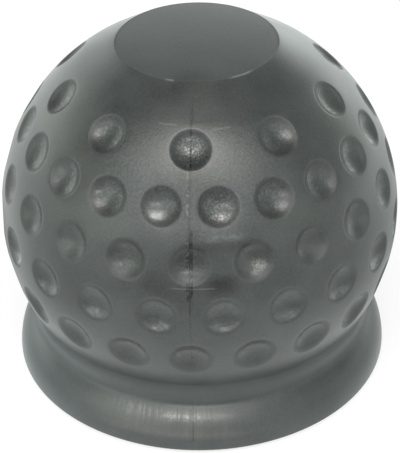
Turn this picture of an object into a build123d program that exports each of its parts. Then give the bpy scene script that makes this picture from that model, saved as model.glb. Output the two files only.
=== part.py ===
"""Push-on cover for a 50 mm tow ball: a dimpled ball on a rounded collar, moulded in one piece of soft rubber.

The cover stands on the foot of its collar, centred on the origin, with its mouth down and +Z up.
All sizes are in millimetres and degrees.
"""
from build123d import *

import os
from math import acos, cos, degrees, radians, sin, sqrt

# Inside: a round cavity for the tow ball, a narrower throat that grips below it, and a tapered mouth
tow_ball_diameter = 50.0
cavity_clearance = 1.0
throat_lip = 3.5  # how far the throat stands in from the widest part of the cavity
mouth_taper = 3.5  # how far the mouth opens out from the throat
mouth_depth = 6.0

# Ball around the cavity, with a flat pad on its crown
wall = 5.0
pad_diameter = 24.5
shoulder_angle = 35.0  # from the axis, where the ball runs out into the straight shoulder below the pad

# Collar around the mouth: a roll that rounds out from under a short tapered neck
neck_angle = 27.4  # below the ball's equator, where the ball runs out into the neck
neck_height = 4.5
waist_inset = 4.7  # how far the foot of the neck stands in from the widest part of the ball
roll_width = 3.45  # how far the roll stands out from the foot of the neck
roll_radius = 8.0
foot_chamfer = 0.85  # from the widest part of the roll down to the foot

# Dimples: staggered rows around the ball, the crown's row first, with every other row on the parting line
dimple_diameter = 6.0
dimple_depth = 1.0
row_counts = [10, 20, 20, 20, 20]
crown_row_angle = 47.8  # above the ball's equator
row_spacing_angle = 15.4
parting_line_angle = -93.1  # where the mould's parting line runs, from +X towards +Y

cavity_radius = tow_ball_diameter / 2 + cavity_clearance
throat_radius = cavity_radius - throat_lip
mouth_radius = throat_radius + mouth_taper
ball_radius = cavity_radius + wall
pad_radius = pad_diameter / 2
waist_radius = ball_radius - waist_inset
collar_radius = waist_radius + roll_width

# Heights, from the foot up: the collar carries the neck, and the neck carries the ball
roll_turn = acos(1 - roll_width / roll_radius)
roll_top = foot_chamfer + roll_radius * sin(roll_turn)
neck = radians(neck_angle)
neck_top = (ball_radius * cos(neck), roll_top + neck_height)
ball_centre = neck_top[1] + ball_radius * sin(neck)
throat_top = ball_centre - sqrt(cavity_radius**2 - throat_radius**2)
cavity_top = ball_centre + cavity_radius

# The pad lies where the shoulder, a cone tangent to the ball, has come in to the pad's edge
shoulder = radians(shoulder_angle)
shoulder_start = (ball_radius * sin(shoulder), ball_centre + ball_radius * cos(shoulder))
pad_height = ball_centre + (ball_radius - pad_radius * sin(shoulder)) / cos(shoulder)

# A dimple is a round-bottomed bowl whose rim is a circle on the ball
dimple_radius = dimple_diameter / 2
bowl_radius = (dimple_radius**2 + dimple_depth**2) / (2 * dimple_depth)
bowl_distance = sqrt(ball_radius**2 - dimple_radius**2) - dimple_depth + bowl_radius

with BuildPart() as ball_cover:
    with BuildSketch(Plane.XZ):
        with BuildLine():
            Polyline((0, cavity_top), (0, pad_height), (pad_radius, pad_height), shoulder_start)
            ThreePointArc(shoulder_start, (ball_radius, ball_centre), neck_top)
            Line(neck_top, (waist_radius, roll_top))
            CenterArc((collar_radius - roll_radius, foot_chamfer), roll_radius, 0, degrees(roll_turn))
            Polyline((collar_radius, foot_chamfer), (collar_radius - foot_chamfer, 0), (mouth_radius, 0))
            Polyline((mouth_radius, 0), (throat_radius, mouth_depth), (throat_radius, throat_top))
            ThreePointArc((throat_radius, throat_top), (cavity_radius, ball_centre), (0, cavity_top))
        make_face()
    revolve(axis=Axis.Z)

    for row, count in enumerate(row_counts):
        row_angle = crown_row_angle - row * row_spacing_angle
        height = ball_centre + bowl_distance * sin(radians(row_angle))
        reach = bowl_distance * cos(radians(row_angle))
        stagger = row % 2 * 180 / count
        with Locations((0, 0, height)):
            with PolarLocations(reach, count, start_angle=parting_line_angle + stagger):
                Sphere(bowl_radius, rotation=(0, -row_angle, 0), mode=Mode.SUBTRACT)

ball_cover.part.label = "ball_cover"

os.makedirs("parts", exist_ok=True)
export_step(ball_cover.part, "parts/ball_cover.step")
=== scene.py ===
"""Tow ball cover: the look of a one-piece moulding in black rubber, worn to a satin dark grey.

Lengths are in metres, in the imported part's own frame: +Z is up and the cover stands on the origin.
"""

from math import acos, atan2, cos, pi, radians, sin, sqrt, tan, tau

import bpy
from mathutils import Matrix, Quaternion, Vector, noise
from mathutils.geometry import delaunay_2d_cdt


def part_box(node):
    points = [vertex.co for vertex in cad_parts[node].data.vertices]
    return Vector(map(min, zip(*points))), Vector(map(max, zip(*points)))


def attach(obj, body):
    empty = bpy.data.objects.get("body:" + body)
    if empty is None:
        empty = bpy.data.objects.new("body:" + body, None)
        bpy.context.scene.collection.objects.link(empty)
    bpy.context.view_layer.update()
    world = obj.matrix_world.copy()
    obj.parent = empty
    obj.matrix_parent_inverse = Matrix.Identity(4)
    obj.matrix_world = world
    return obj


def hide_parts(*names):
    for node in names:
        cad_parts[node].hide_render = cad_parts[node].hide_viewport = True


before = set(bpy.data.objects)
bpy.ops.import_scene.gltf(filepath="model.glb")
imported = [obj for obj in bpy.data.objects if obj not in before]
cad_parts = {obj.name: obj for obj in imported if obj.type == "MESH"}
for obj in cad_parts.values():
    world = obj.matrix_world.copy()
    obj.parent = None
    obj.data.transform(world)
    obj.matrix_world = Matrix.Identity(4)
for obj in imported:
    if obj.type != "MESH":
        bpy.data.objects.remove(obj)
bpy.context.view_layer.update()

# Cover: one moulding of soft black rubber, made in a two-part mould that opened at the parting line.
# It is a dimpled ball with a flat pad on its crown and a rounded collar around its mouth. It is modelled
# below part by part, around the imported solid's own width and height, and joined into one closed mesh.
MM = 0.001
low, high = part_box("ball_cover")
ball_radius = (high.x - low.x) / 2
crown_height = high.z
pad_radius = 12.25 * MM
shoulder = radians(35.0)  # from the axis, where the ball runs out into the straight shoulder below the pad
ball_centre = Vector((0, 0, crown_height - (ball_radius - pad_radius * sin(shoulder)) / cos(shoulder)))
parting_angle = radians(-93.1)  # where the parting line runs, from +X towards +Y

# Dimples: five staggered rows of round bowls, moulded into the ball, with softer edges in the lower rows.
# One bowl of each row is turned on the axis, and copied round the ball. The ball, the rounding of the edge
# and the bowl are each tangent to the next.
dimple_radius = 3.0 * MM
dimple_depth = 1.0 * MM
row_counts = [10, 20, 20, 20, 20]
row_edges = [0.8 * MM, 0.85 * MM, 1.0 * MM, 1.3 * MM, 1.8 * MM]
crown_row = radians(47.8)  # above the ball's equator
row_spacing = radians(15.4)
dimple_steps = 48
edge_steps = 5
bowl_steps = 9
spin_gap = 0.0005 * MM  # points closer than this, at the axis or where a spin closes, are one point


def on_ball(latitude, longitude):
    """A point of the ball's surface."""
    level = ball_radius * cos(latitude)
    up = ball_radius * sin(latitude)
    return ball_centre + Vector((level * cos(longitude), level * sin(longitude), up))


def arc(centre, radius, start, end, count):
    """A round stretch of a profile, from one angle to another, as (distance from the axis, height)."""
    turns = [start + (end - start) * k / count for k in range(count + 1)]
    return [(centre[0] + radius * cos(turn), centre[1] + radius * sin(turn)) for turn in turns]


def turned(name, profile, steps, angle=0.0):
    """A shape turned about the Z axis from a profile of (distance from the axis, height)."""
    points = [(across * cos(angle), across * sin(angle), up) for across, up in profile]
    mesh = bpy.data.meshes.new(name)
    mesh.from_pydata(points, [(k, k + 1) for k in range(len(points) - 1)], [])
    piece = bpy.data.objects.new(name, mesh)
    bpy.context.scene.collection.objects.link(piece)
    bpy.ops.object.select_all(action="DESELECT")
    piece.select_set(True)
    bpy.context.view_layer.objects.active = piece
    bpy.ops.object.mode_set(mode="EDIT")
    bpy.ops.mesh.select_all(action="SELECT")
    bpy.ops.mesh.spin(steps=steps, angle=tau, center=(0, 0, 0), axis=(0, 0, 1))
    bpy.ops.mesh.select_all(action="SELECT")
    bpy.ops.mesh.remove_doubles(threshold=spin_gap)
    bpy.ops.object.mode_set(mode="OBJECT")
    return piece


bowl_radius = (dimple_radius**2 + dimple_depth**2) / (2 * dimple_depth)
bowl_height = sqrt(ball_radius**2 - dimple_radius**2) - dimple_depth + bowl_radius
copies = []
rims = []
for row, (count, edge) in enumerate(zip(row_counts, row_edges)):
    # The rounding of the edge is a circle that touches the ball from inside, and the bowl from outside
    edge_reach = ball_radius - edge
    edge_up = (bowl_height**2 + edge_reach**2 - (bowl_radius + edge) ** 2) / (2 * bowl_height)
    edge_across = sqrt(edge_reach**2 - edge_up**2)
    edge_start = atan2(edge_up, edge_across)
    edge_end = atan2(bowl_height - edge_up, -edge_across)
    edge_profile = arc((edge_across, edge_up), edge, edge_start, edge_end, edge_steps)
    bowl_profile = arc((0, bowl_height), bowl_radius, edge_end - pi, -pi / 2, bowl_steps)
    dimple = turned("dimple", edge_profile + bowl_profile[1:], dimple_steps)

    rim = pi / 2 - edge_start
    latitude = crown_row - row * row_spacing
    for number in range(count):
        longitude = parting_angle + (number + row % 2 / 2) * tau / count
        tilt = Matrix.Rotation(longitude, 4, "Z") @ Matrix.Rotation(pi / 2 - latitude, 4, "Y")
        mesh = dimple.data.copy()
        mesh.transform(Matrix.Translation(ball_centre) @ tilt)
        copy = bpy.data.objects.new("dimple_copy", mesh)
        bpy.context.scene.collection.objects.link(copy)
        copies.append(copy)
        ring = []
        for step in range(dimple_steps):
            bearing = tau * step / dimple_steps
            offset = Vector((sin(rim) * cos(bearing), sin(rim) * sin(bearing), cos(rim)))
            ring.append(ball_centre + tilt @ (offset * ball_radius))
        outward = (on_ball(latitude, longitude) - ball_centre).normalized()
        rims.append((outward, rim, ring))
    bpy.data.objects.remove(dimple)

# Skin: the smooth land of the ball between the dimples, from the shoulder down to the neck.
# Its points are the dimples' rims, a ring above and one below, and an even spread between them.
# Flattened out from the ball's foot, they are joined by triangles, except across the dimples and the crown.
around = 192
skin_top = pi / 2 - shoulder
skin_foot = radians(-21.5)
skin_spacing = 1.1 * MM
skin_clear = 0.6 * skin_spacing / ball_radius  # as an angle, how far the spread keeps from rims and rings
skin_sag = 0.06 * MM  # how far below the ball a triangle of the skin may lie
skin_points = [point for middle, rim, ring in rims for point in ring]
for step in range(around):
    longitude = parting_angle + tau * step / around
    skin_points.append(on_ball(skin_top, longitude))
    skin_points.append(on_ball(skin_foot, longitude))
spread = round(4 * pi * ball_radius**2 / skin_spacing**2)
golden_turn = pi * (3 - sqrt(5))
for k in range(spread):
    latitude = pi / 2 - acos(1 - 2 * (k + 0.5) / spread)
    if not skin_foot + skin_clear < latitude < skin_top - skin_clear:
        continue
    point = on_ball(latitude, k * golden_turn)
    outward = (point - ball_centre).normalized()
    if all(outward.dot(middle) < cos(rim + skin_clear) for middle, rim, ring in rims):
        skin_points.append(point)

flat_points = []
for point in skin_points:
    outward = (point - ball_centre).normalized()
    flat_points.append(Vector((outward.x, outward.y)) / (1 + outward.z))
all_triangles = 0  # the kind of result: every triangle between the points
same_point = 1e-9
triangles = delaunay_2d_cdt(flat_points, [], [], all_triangles, same_point)[2]
skin_faces = []
for face in triangles:
    corners = [skin_points[k] for k in face]
    normal = (corners[1] - corners[0]).cross(corners[2] - corners[0]).normalized()
    if abs(normal.dot(corners[0] - ball_centre)) > ball_radius - skin_sag:
        skin_faces.append(face)
mesh = bpy.data.meshes.new("skin")
mesh.from_pydata(skin_points, [], skin_faces)
skin = bpy.data.objects.new("skin", mesh)
bpy.context.scene.collection.objects.link(skin)

# Crown: the straight shoulder above the skin, and the round pad on top, flat but for a slight dome.
# It is turned from one profile, with a fine rounding at the pad's edge.
pad_edge = 0.35 * MM
pad_dome = 0.35 * MM
pad_shares = (0.85, 0.7, 0.5, 0.3, 0.12, 0)  # of the pad's radius, where its rings of points lie
shoulder_steps = 5
corner_steps = 4


def rounded(before, corner, after, radius, count):
    """A corner of a profile, rounded to this radius."""
    corner = Vector(corner)
    to_before = (Vector(before) - corner).normalized()
    to_after = (Vector(after) - corner).normalized()
    half = acos(to_before.dot(to_after)) / 2
    centre = corner + (to_before + to_after).normalized() * radius / sin(half)
    first = corner + to_before * radius / tan(half) - centre
    last = corner + to_after * radius / tan(half) - centre
    start = atan2(first.y, first.x)
    turn = (atan2(last.y, last.x) - start + pi) % tau - pi
    return arc(centre, radius, start, start + turn, count)


shoulder_start = (ball_radius * cos(skin_top), ball_centre.z + ball_radius * sin(skin_top))
pad_corner = (pad_radius, crown_height - pad_dome)
crown_profile = [shoulder_start]
for step in range(1, shoulder_steps):
    crown_profile.append(Vector(shoulder_start).lerp(Vector(pad_corner), step / shoulder_steps))
crown_profile += rounded(shoulder_start, pad_corner, (0, crown_height - pad_dome), pad_edge, corner_steps)
for share in pad_shares:
    crown_profile.append((pad_radius * share, crown_height - pad_dome * share**2))
crown = turned("crown", crown_profile, around, parting_angle)

# Neck and collar: below the dimples the moulding sweeps in to a waist, and out again into a rounded roll.
# The roll runs down to a small chamfer with rounded edges, and the cover stands on the flat foot below it.
neck_angle = radians(27.4)  # below the ball's equator, where the ball runs out into the neck
neck_lean = radians(23.0)
roll_turn = radians(42.0)
collar_radius = 29.75 * MM
roll_radius = 9.2 * MM
foot_chamfer = 0.85 * MM
foot_rounding = 0.3 * MM
mouth_radius = 26.0 * MM
ball_foot_steps = 6
neck_steps = 12
roll_steps = 16
foot_steps = 3


def swept(start, corner, end, count):
    """A soft sweep that leaves its start towards a corner, and reaches its end from that corner."""
    points = []
    for k in range(count + 1):
        share = k / count
        towards_corner = Vector(start).lerp(Vector(corner), share)
        points.append(towards_corner.lerp(Vector(corner).lerp(Vector(end), share), share))
    return points


roll_centre = (collar_radius - roll_radius, foot_chamfer)
roll_top = (roll_centre[0] + roll_radius * cos(roll_turn), roll_centre[1] + roll_radius * sin(roll_turn))
neck_top = (ball_radius * cos(neck_angle), ball_centre.z - ball_radius * sin(neck_angle))
# The waist is the corner where the neck's lean meets the tangent at the roll's top. The sweep softens it.
off_tangent = (neck_top[0] - roll_top[0]) * cos(roll_turn) + (neck_top[1] - roll_top[1]) * sin(roll_turn)
neck_length = off_tangent / sin(neck_lean + roll_turn)
waist = (neck_top[0] - neck_length * sin(neck_lean), neck_top[1] - neck_length * cos(neck_lean))
chamfer_top = (collar_radius, foot_chamfer)
chamfer_foot = (collar_radius - foot_chamfer, 0)
mouth_corner = (mouth_radius, 0)
roll = arc(roll_centre, roll_radius, roll_turn, 0, roll_steps)
collar_profile = arc((0, ball_centre.z), ball_radius, skin_foot, -neck_angle, ball_foot_steps)
collar_profile += swept(neck_top, waist, roll_top, neck_steps)[1:]
collar_profile += roll[1:-1]
collar_profile += rounded(roll[-2], chamfer_top, chamfer_foot, foot_rounding, foot_steps)
collar_profile += rounded(chamfer_top, chamfer_foot, mouth_corner, foot_rounding, foot_steps)
collar = turned("collar", collar_profile, around, parting_angle)

# Inside: the tapered mouth, the throat that grips below the tow ball, and the round cavity that holds it.
# It is turned from a profile that starts where the collar's ends, so that the two meet on the foot.
throat_radius = 22.5 * MM
mouth_depth = 6.0 * MM
cavity_radius = 26.0 * MM
mouth_edge = 0.5 * MM
throat_edge = 0.8 * MM
cavity_steps = 48
throat_top = ball_centre.z - sqrt(cavity_radius**2 - throat_radius**2)
throat_latitude = atan2(throat_top - ball_centre.z, throat_radius)
throat_corner = (throat_radius, mouth_depth)
throat_end = (throat_radius, throat_top)
inner_profile = [collar_profile[-1]]
inner_profile += rounded(chamfer_foot, mouth_corner, throat_corner, mouth_edge, corner_steps)
inner_profile += rounded(mouth_corner, throat_corner, throat_end, throat_edge, corner_steps)
inner_profile += arc((0, ball_centre.z), cavity_radius, throat_latitude, pi / 2, cavity_steps)
inside = turned("inside", inner_profile, around, parting_angle)

# Parting line: a fine, uneven ridge where the two halves of the mould met, flatter on the lower half.
# The parts above are joined into one mesh, which is cut along the ridge's middle and its two sides,
# and the points of the middle cut are then raised.
seam_gap = 0.01 * MM  # points closer than this are one point, or on the cut
cut_gap = 0.004 * MM
ridge_half = 0.13 * MM
ridge_height = 0.07 * MM
ridge_foot = 0.5 * MM
ridge_top = crown_height - 2.0 * MM
ridge_waves = 900.0  # to the metre
low_ridge_top = 26.0 * MM
low_ridge_share = 0.35
sharp_angle = radians(50.0)
across_ridge = Vector((-sin(parting_angle), cos(parting_angle), 0))
bpy.ops.object.select_all(action="DESELECT")
for piece in copies + [skin, crown, collar, inside]:
    piece.select_set(True)
bpy.context.view_layer.objects.active = skin
bpy.ops.object.join()
bpy.ops.object.mode_set(mode="EDIT")
bpy.ops.mesh.select_all(action="SELECT")
bpy.ops.mesh.remove_doubles(threshold=seam_gap)
for offset in (-ridge_half, 0, ridge_half):
    bpy.ops.mesh.select_all(action="SELECT")
    bpy.ops.mesh.bisect(plane_co=across_ridge * offset, plane_no=across_ridge, threshold=cut_gap / 2)
bpy.ops.mesh.select_all(action="SELECT")
bpy.ops.mesh.remove_doubles(threshold=cut_gap)
bpy.ops.mesh.normals_make_consistent(inside=False)
bpy.ops.object.mode_set(mode="OBJECT")
for vertex in skin.data.vertices:
    on_ridge = abs(vertex.co.dot(across_ridge)) < seam_gap
    outside = vertex.normal.xy.dot(vertex.co.xy) > 0
    if on_ridge and outside and ridge_foot < vertex.co.z < ridge_top:
        uneven = 0.65 + 0.5 * noise.noise(vertex.co * ridge_waves)
        share = 1.0 if vertex.co.z > low_ridge_top else low_ridge_share
        vertex.co += vertex.normal * ridge_height * uneven * share
cover = skin
cover.name = "cover"
cover.data.name = "cover"
bpy.ops.object.shade_smooth_by_angle(angle=sharp_angle)


# Rubber: black, with a satin skin and a fine grain from the mould, and worn to dark grey by use.
# Its finish and its marks are worked out in the shader from where a point lies on the cover.
# Places on it are given in millimetres, and left and right are as seen from the parting line's side.
class Wire:
    """An output of a shader node. Sums and products add Math nodes, and node() adds any other kind."""

    def __init__(self, tree, socket=None):
        self.tree = tree
        self.socket = socket

    def node(self, kind, settings, inputs, output=0):
        made = self.tree.nodes.new(kind)
        for name, value in settings.items():
            setattr(made, name, value)
        for name, value in inputs.items():
            if isinstance(value, Wire):
                self.tree.links.new(value.socket, made.inputs[name])
            else:
                made.inputs[name].default_value = value
        return Wire(self.tree, made.outputs[output])

    def math(self, operation, first, second):
        return self.node("ShaderNodeMath", {"operation": operation}, {0: first, 1: second})

    def __add__(self, other):
        return self.math("ADD", self, other)

    __radd__ = __add__

    def __mul__(self, other):
        return self.math("MULTIPLY", self, other)

    __rmul__ = __mul__

    def __sub__(self, other):
        return self.math("SUBTRACT", self, other)

    def __rsub__(self, other):
        return self.math("SUBTRACT", other, self)

    def __truediv__(self, other):
        return self.math("DIVIDE", self, other)

    def __abs__(self):
        return self.math("ABSOLUTE", self, 0)

    def between(self, start, end):
        """A smooth step from 0 at start to 1 at end."""
        settings = {"interpolation_type": "SMOOTHSTEP"}
        inputs = {"Value": self, "From Min": start, "From Max": end}
        return self.node("ShaderNodeMapRange", settings, inputs)

    def band(self, start, end, soft):
        """1 from start to end, and 0 outside, with soft edges."""
        return self.between(start - soft, start + soft) * (1 - self.between(end - soft, end + soft))

    def along(self, direction):
        """How far this vector goes in a direction."""
        settings = {"operation": "DOT_PRODUCT"}
        return self.node("ShaderNodeVectorMath", settings, {0: self, 1: direction}, "Value")

    def distance(self, point):
        """How far this point is from another."""
        settings = {"operation": "DISTANCE"}
        return self.node("ShaderNodeVectorMath", settings, {0: self, 1: point}, "Value")

    def noise(self, scale, detail):
        return self.node("ShaderNodeTexNoise", {}, {"Vector": self, "Scale": scale, "Detail": detail})


rubber = bpy.data.materials.new("black_rubber")
rubber.use_nodes = True
tree = rubber.node_tree
start = Wire(tree)
place = start.node("ShaderNodeTexCoord", {}, {}, "Object")
height = place.along((0, 0, 1 / MM))
side = place.along(across_ridge / MM)  # to the right of the parting line
ahead = place.along(Vector((cos(parting_angle), sin(parting_angle), 0)) / MM)  # of the axis
depth = (ball_radius - place.distance(ball_centre)) / MM  # below the ball's surface
from_axis = start.math("POWER", side * side + ahead * ahead, 0.5)
turn = start.math("ARCTAN2", side, ahead)  # about the axis, from the parting line
lean = side / from_axis  # from -1 at the far left to 1 at the far right
front = ahead.between(0, 2)


def front_patch(left, right, foot, top, soft_across, soft_up):
    """A patch on the front of the cover, with soft edges."""
    return front * side.band(left, right, soft_across) * height.band(foot, top, soft_up)


# Noise, from the finest to the broadest
grain = place.noise(3000.0, 2.0)
speck = place.noise(1500.0, 1.0)
mottle = place.noise(240.0, 3.0)
blotch = place.noise(90.0, 2.0)

# Bowls: glossy and pitted, with a dull and partly darkened edge, and one in front smooth, with a wet foot
dimpled = height.between(13, 14) * (1 - height.between(51.1, 51.6))
bowl = depth.between(0.4, 0.8) * dimpled
low_bowl = bowl * (1 - height.between(20.5, 22.5))
upper_wall = bowl * height.between(49.5, 50.5)
low_wall = depth.between(0.1, 0.3) * dimpled * height.band(23.5, 25.6, 0.4)
dull_edge = depth.between(0.01, 0.06) * (1 - depth.between(0.25, 0.6)) * dimpled
dark_edge = depth.between(0, 0.15) * (1 - depth.between(0.35, 0.85)) * dimpled
dark_edge = dark_edge * (0.2 + 0.8 * height.between(26, 40)) * mottle.between(0.2, 0.5)
dark_edge = dark_edge * (1 - 0.9 * abs(side).between(13, 19))
smooth = bowl * front_patch(-7.4, -1.6, 40.4, 45.4, 0.5, 0.5)
wet = bowl * front_patch(-6.6, -3.6, 40.6, 42, 0.5, 0.5)
gloss = bowl * grain.between(0.5, 0.62) * (0.25 + 0.75 * height.between(35, 40))
gloss = gloss * (1 - 0.5 * abs(side).between(7.5, 11)) * (1 - 0.8 * upper_wall)
gloss = gloss + low_wall * (0.5 + 0.7 * grain.between(0.45, 0.6))

# Pad: dull, with painted shade towards the front and in a dark outline at the back, and a pale, nicked,
# worn outline in front
pad_top = crown_height / MM
pad_end = pad_radius / MM
pad = height.between(pad_top - 0.5, pad_top - 0.4)
pad_front = ahead.between(0, 4)
nicks = side.band(-3.9, -2.8, 0.2) + side.band(5.5, 8.3, 0.5)
# Its outline: painted shade along the edge at the back, and a pale worn line with nicks in front
edge_wear_and_shade = from_axis.band(pad_end - 0.3, pad_end + 0.1, 0.1) * height.between(pad_top - 1.2, pad_top - 0.8)
edge_wear_and_shade = edge_wear_and_shade * (0.01 * pad_front + 0.06 * pad_front * nicks - 0.02 * (1 - pad_front))

# Below the pad's front: a band of painted shade, and coarser grain down past the second row of dimples
off_pad = front * (1 - pad)
painted_shade_below_pad = from_axis.band(12.6, 15.5, 1) * (1 - abs(side).between(3, 9)) * off_pad
coarse = 0.7 * height.band(40.5, 50.5, 2.5) * (1 - abs(side).between(9, 15)) * off_pad

# Collar's front: rubbed paler in fine upright strokes, with a painted warm highlight, and polished in ticks
# along its upper side
stroke_density = 75  # to the radian about the axis
strokes_up = 0.12  # to the millimetre
unrolled = start.node("ShaderNodeCombineXYZ", {}, {"X": turn * stroke_density, "Z": height * strokes_up})
upright = unrolled.noise(1.0, 2.0)
ticks = upright.between(0.4, 0.6) * (0.3 + 0.7 * speck.between(0.38, 0.58))
polish = height.band(5.5, 6.9, 0.6) * (1 - abs(turn + 0.15).between(0.1, 0.4))
scuff_and_painted_highlight = height.band(3, 7, 0.6) * (1 - abs(turn + 0.12).between(0.1, 0.6))
scuff_and_painted_highlight = scuff_and_painted_highlight * (0.5 + upright) + 0.6 * polish * (0.1 + 1.1 * ticks)

# Collar and neck: partly dust, partly painted light and shade, with painted shade along the crease in front
# Paler at the left and darker at the right, partly dust and partly painted light and shade, and the neck's
# shade lifted by painted light
dust_and_painted_light = (1 - height.between(8, 12.5)) * (1.2 - 1.7 * lean.between(-0.93, 0.93))
dust_and_painted_light = dust_and_painted_light + 0.6 * height.band(10.5, 13.5, 1.2)
dust_and_painted_light = dust_and_painted_light + 0.9 * height.band(12.2, 14.6, 0.8) * (1 - lean.between(-0.78, -0.2))
# A painted cool reflection, bluish at the left
painted_cool_light = (1 - height.between(9, 16)) * (1 - 0.75 * lean.between(-0.89, -0.39))
foot = 1 - height.between(2.2, 3.8)
# Painted shade in the waist's hollow, towards the right
painted_waist_shade = height.band(7.8, 10.2, 0.9) * lean.between(-0.56, 0.2)
# Painted shade along the crease where the ball meets the neck, in front, in place of a groove
painted_crease_shade = height.band(11.87, 11.97, 0.06) * (1 - abs(turn).between(0.4, 0.9))

# Parting line: a broken dark thread that fades on the neck, and in front two rows of dots and pale beads
wander = side + 0.25 * (mottle - 0.5)
lasting = 0.4 * height.between(15, 18) + 0.6 * height.between(25, 29) + height.band(2.5, 7.4, 0.4)
lasting = lasting * (1 - 0.45 * height.band(39.5, 46.5, 1)) * (1 - height.between(52, 53.2))
thread = (1 - abs(wander).between(0.05, 0.16)) * mottle.between(0.36, 0.5) * lasting
dots = 1 - abs(abs(wander) - 0.3).between(0.08, 0.25)
dots = dots * height.band(30, 40, 0.7) * speck.between(0.42, 0.56) * front
beads = front_patch(-0.5, -0.15, 33, 47, 0.1, 1) * speck.between(0.5, 0.62)

# Marks of use in front: light strokes, a pale rub and dark smears by the parting line; and a painted
# highlight in one bowl
strokes = 0
for left, right, up in ((-4.5, -2, 51.4), (3, 5.4, 51), (-2.7, 3.7, 31.9)):
    strokes = strokes + front_patch(left, right, up - 0.08, up + 0.08, 0.4, 0.1)
rub = front_patch(1.7, 7.5, 38.6, 39.4, 1, 0.4) * (0.3 + 0.7 * speck.between(0.4, 0.6))
# A painted highlight: a pale, warm spot in a bowl in place of its reflection of the light
painted_highlight_in_bowl = bowl * front_patch(8.8, 10.6, 32.6, 34.8, 0.6, 0.5) * (0.35 + 0.65 * grain.between(0.35, 0.65))
smears = front * bowl * (1 - abs(side).between(2, 3)) * height.band(33.9, 38.6, 0.8)
smears = smears + 0.45 * front * (1 - abs(side).between(0.8, 3.5)) * height.band(37, 51, 1.5)
for left, right, end_below, end_above in ((2.8, 6.6, 30.8, 33.6), (1, 9, 37.3, 38.3), (-7, -3.8, 31, 34)):
    smears = smears + front_patch(left, right, end_below, end_above, 1.4, 1)
smears = smears * (0.3 + 0.6 * blotch.between(0.25, 0.6))

# Colour: an even grey with its noise, then what each mark adds to it, and what each takes away
grey = 0.031
shade = grey + 0.02 * (mottle - 0.5) + 0.02 * (blotch - 0.5) + (0.025 + 0.04 * coarse) * (grain - 0.5)
# The pad's term is painted shade, darker towards the front; its outline is painted shade at the back and
# wear in front
shade = shade + pad * (0.006 - 0.012 * ahead.between(-10, 13)) + edge_wear_and_shade
# Some of these are painted light and shade: the shade below the pad, in the waist and crease, and a bowl's
# highlight
added = [(0.007, dust_and_painted_light), (0.0005, foot), (0.04, beads), (0.035, strokes), (0.03, rub), (0.075, painted_highlight_in_bowl)]
taken = [(0.009, dark_edge), (0.007, low_bowl), (0.009, painted_shade_below_pad), (0.004, painted_waist_shade)]
taken += [(0.03, painted_crease_shade), (0.022, thread), (0.03, dots), (0.022, smears)]
for amount, mark in added:
    shade = shade + amount * mark
for amount, mark in taken:
    shade = shade - amount * mark
# The warm and cool terms are partly painted light: the collar's warm highlight, the bowl's spot and the
# cool tint at the left
red = 0.9 * shade + 0.028 * scuff_and_painted_highlight + 0.01 * painted_highlight_in_bowl - 0.0035 * painted_cool_light
green = shade + 0.025 * scuff_and_painted_highlight
blue = 0.97 * shade + 0.023 * scuff_and_painted_highlight - 0.008 * painted_highlight_in_bowl + 0.002 * painted_cool_light
colour = start.node("ShaderNodeCombineColor", {}, {0: red, 1: green, 2: blue})

# Finish: satin, with a gloss like a thin coat in the bowls and on the collar, and pitted by the grain
satin = 0.32
roughness = satin + 0.1 * (mottle - 0.5) + 0.03 * pad - 0.02 * bowl - 0.04 * polish + 0.08 * smears
roughness = roughness + 0.18 * dull_edge + 0.2 * upper_wall
coat = 0.05 * bowl + 0.8 * gloss * (1 - 0.75 * smooth) + 0.7 * wet + polish * (0.1 + 0.65 * ticks)
pits = grain * (0.8 + 0.8 * bowl + 0.7 * coarse) + speck * (0.3 + 0.5 * bowl + 0.7 * coarse)
pits = pits * (1 - 0.7 * smooth)
bumps = start.node("ShaderNodeBump", {}, {"Strength": 0.4, "Distance": 0.04 * MM, "Height": pits})
shader = tree.nodes["Principled BSDF"]
looks = {"Base Color": colour, "Roughness": roughness, "Coat Weight": coat, "Normal": bumps}
for name, wire in looks.items():
    tree.links.new(wire.socket, shader.inputs[name])
shader.inputs["Coat Roughness"].default_value = 0.17

cover.data.materials.clear()
cover.data.materials.append(rubber)
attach(cover, "root")
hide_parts("ball_cover")

# Floor: a plain pale sheet that the cover stands on. The camera sees it almost white, with a soft shadow.
# The rubber mirrors it brighter close in front, at the left and far behind, and dimmer further in front
# and in the lee of the cover, and with a faint green tint.
bpy.ops.object.select_all(action="DESELECT")
bpy.ops.mesh.primitive_plane_add(size=6.0)
floor = bpy.context.object
floor.name = "floor"
floor_material = bpy.data.materials.new("pale_floor")
floor_material.use_nodes = True
tree = floor_material.node_tree
tree.nodes.remove(tree.nodes["Principled BSDF"])
start = Wire(tree)
seen = start.node("ShaderNodeLightPath", {}, {}, "Is Camera Ray")
mirrored = start.node("ShaderNodeLightPath", {}, {}, "Is Glossy Ray")
through = start.node("ShaderNodeLightPath", {}, {}, "Is Transmission Ray")
floor_place = start.node("ShaderNodeTexCoord", {}, {}, "Object")


def floor_spot(across, away, inner, outer):
    """1 within the inner distance of a place on the floor, and 0 beyond the outer one, in millimetres."""
    middle = Vector((across, away, 0)) * MM
    return 1 - floor_place.distance(middle).between(inner * MM, outer * MM)


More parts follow.
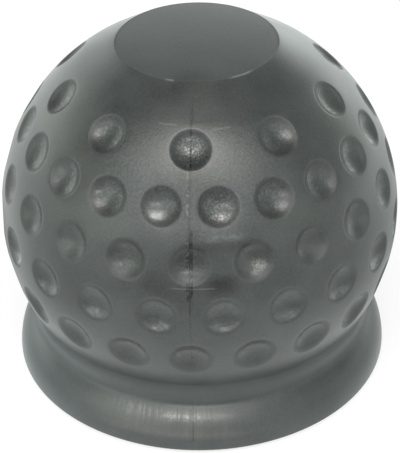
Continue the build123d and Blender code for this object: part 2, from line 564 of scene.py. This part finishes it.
close_in_front = floor_spot(0, -38, 30, 62)
at_left = floor_spot(-85, 30, 16, 60)
far_behind = (1 - floor_spot(0, 0, 50, 240)) * floor_place.along((0, 1, 0)).between(-50 * MM, 50 * MM)
far_right = far_behind * floor_place.along((1, 0, 0)).between(60 * MM, 200 * MM)
further_in_front = floor_spot(15, -150, 50, 110)
left_lee = floor_spot(-40, 33, 8, 24)
right_lee = floor_spot(40, 33, 8, 24)
brighter = 0.6 * close_in_front + 0.55 * at_left + far_behind + 0.4 * far_right
dimmer = 0.7 * further_in_front + 0.95 * left_lee + 0.6 * right_lee
white_level = 1 + mirrored * (brighter - dimmer)
tint = start.node("ShaderNodeCombineColor", {}, {0: 1 - 0.06 * mirrored, 1: 1.0, 2: 1 - 0.01 * mirrored})
diffuse = start.node("ShaderNodeBsdfDiffuse", {}, {"Color": (0.9, 0.9, 0.9, 1)})
white = start.node("ShaderNodeEmission", {}, {"Color": tint, "Strength": white_level})
white_share = 0.75 * (seen + mirrored + through)
surface = start.node("ShaderNodeMixShader", {}, {0: white_share, 1: diffuse, 2: white})
tree.links.new(surface.socket, tree.nodes["Material Output"].inputs["Surface"])
floor.data.materials.append(floor_material)

# Light: a pale tent around the cover, dark overhead and low in front, with soft glows at its sides.
# In front of the cover one large softbox with a stronger middle hangs high, and a strip light stands lower.
world = bpy.data.worlds.new("tent")
bpy.context.scene.world = world
world.use_nodes = True
tree = world.node_tree
start = Wire(tree)
towards = start.node("ShaderNodeTexCoord", {}, {}, "Generated")
to_right = towards.along((1, 0, 0))
to_back = towards.along((0, 1, 0))
upward = towards.along((0, 0, 1))
sideways = abs(to_right)


def way(azimuth, elevation):
    """A direction, by its angle from the camera's side towards the right, and its angle above the floor."""
    level = cos(radians(elevation))
    return Vector((level * sin(radians(azimuth)), -level * cos(radians(azimuth)), sin(radians(elevation))))


def within(closeness, outer, inner):
    """0 at the outer angle from a direction and 1 at the inner one, by the cosine of the angle from it."""
    return closeness.between(cos(radians(outer)), cos(radians(inner)))


def tent_spot(azimuth, elevation, outer, inner):
    """A soft round spot on the tent."""
    return within(towards.along(way(azimuth, elevation)), outer, inner)


tent = 1.7  # its even level, before its dark parts and its glows
dark_parts = [
    # the share of the light that is lost, and where
    (0.82, within(towards.along(way(180, 71)) + 0.22 * sideways, 44, 31)),  # overhead
    (0.55, within(0.87 * sideways + 0.5 * upward, 32, 12)),  # high at both sides
    (0.2, upward.between(0.12, 0.4) * to_back.between(0.2, 0.7)),  # high at the back
    (0.75, tent_spot(0, -12, 36, 22)),  # low in front
    (0.22, tent_spot(-152, 15, 24, 8)),  # at the back, left of the middle
    (0.12, to_right),  # more the further right
]
for loss, part in dark_parts:
    tent = tent * (1 - loss * part)
glows = [
    # the light that is added, and where
    (1.6, tent_spot(152, -2, 36, 12)),  # at the back, right of the middle
    (0.9, tent_spot(-127, 14, 32, 10)),  # at the left, towards the back
    (0.85, tent_spot(-52, 18, 26, 12)),  # at the left, towards the front
    (0.2, tent_spot(114, 43, 27, 8)),  # high at the right
]
for gain, part in glows:
    tent = tent + gain * part
seen = start.node("ShaderNodeLightPath", {}, {}, "Is Camera Ray")
strength = tent * (1 - seen) + seen
tent_blue = 0.98 - 0.04 * sideways.between(0.4, 0.9) * (1 - seen)
tint = start.node("ShaderNodeCombineColor", {}, {0: 0.93, 1: 1.0, 2: tent_blue})
background = tree.nodes["Background"]
tree.links.new(tint.socket, background.inputs["Color"])
tree.links.new(strength.socket, background.inputs["Strength"])

softboxes = [
    # name, azimuth, elevation, half width and half height as angles, distance, level, colour
    ("softbox", -7, 59.5, 33, 15, 0.5, 2.4, (1.0, 0.96, 0.93)),
    ("softbox_middle", -4, 62, 16, 10, 0.49, 4.8, (1.0, 0.95, 0.91)),
    ("strip_light", -2, 24, 19, 3.5, 0.48, 7.0, (1.0, 0.98, 0.96)),
]
for name, azimuth, elevation, half_width, half_height, distance, level, box_colour in softboxes:
    bpy.ops.object.light_add(type="AREA")
    box = bpy.context.object
    box.name = name
    box.data.shape = "RECTANGLE"
    box.data.size = 2 * distance * tan(radians(half_width))
    box.data.size_y = 2 * distance * tan(radians(half_height))
    box.data.energy = level * pi * box.data.size * box.data.size_y
    box.data.color = box_colour
    box.location = ball_centre + way(azimuth, elevation) * distance
    box.rotation_euler = way(azimuth, elevation).to_track_quat("Z", "Y").to_euler()

# Camera: on the parting line's side, looking down on the cover from about nine times the ball's radius.
# It aims a little below the ball's centre, and is turned slightly about its own line of sight.
camera_elevation = 33.95
camera_distance = 8.82 * ball_radius
camera_dip = 0.796
camera_roll = radians(-1.0)
bpy.ops.object.camera_add()
camera = bpy.context.object
camera.name = "camera"
camera.data.sensor_width = 36.0
camera.data.lens = 137.76
camera.location = ball_centre + way(0, camera_elevation) * camera_distance
camera.rotation_mode = "QUATERNION"
aim = way(0, camera_elevation + camera_dip).to_track_quat("Z", "Y")
camera.rotation_quaternion = aim @ Quaternion((0, 0, 1), camera_roll)
bpy.context.scene.camera = camera
bpy.context.scene.view_settings.view_transform = "Standard"
